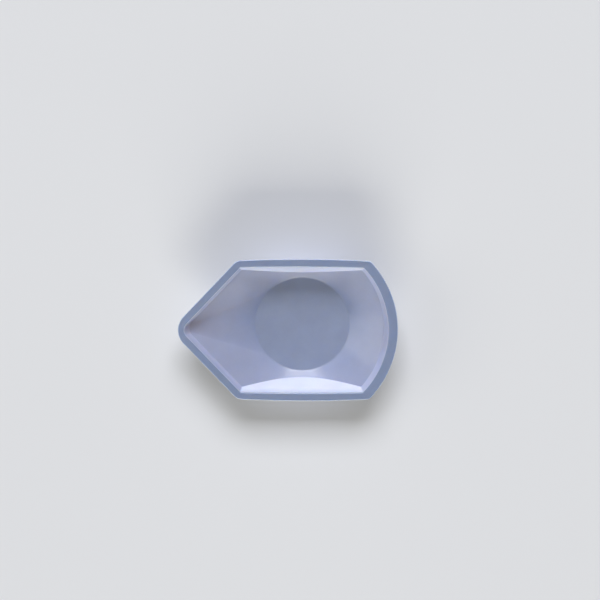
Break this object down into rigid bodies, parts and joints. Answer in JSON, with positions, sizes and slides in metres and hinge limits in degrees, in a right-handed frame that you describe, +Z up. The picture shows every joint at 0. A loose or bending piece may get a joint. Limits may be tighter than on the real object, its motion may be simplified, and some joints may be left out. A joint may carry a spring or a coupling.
{
  "type": "weighing boat",
  "caption": "Shallow weighing boat in thin milky plastic, with a flat round base, flared walls, a flat rim with a turned-down lip and a pointed pouring spout.",
  "frame": {"origin": "centre of the flat round base's underside, on the surface that the boat stands on", "axes": "+Z up through the open mouth, -X towards the pouring spout, +X towards the curved back, +Y across the long sides; the boat mirrors across the XZ plane"},
  "size_m": [0.14, 0.0916, 0.025],
  "materials": {
    "boat_sheet": "semi-gloss milky polystyrene sheet, pale blue-white, letting a little light through"
  },
  "bodies": {
    "root": {"weighing_boat": "boat_sheet"}
  },
  "joints": []
}
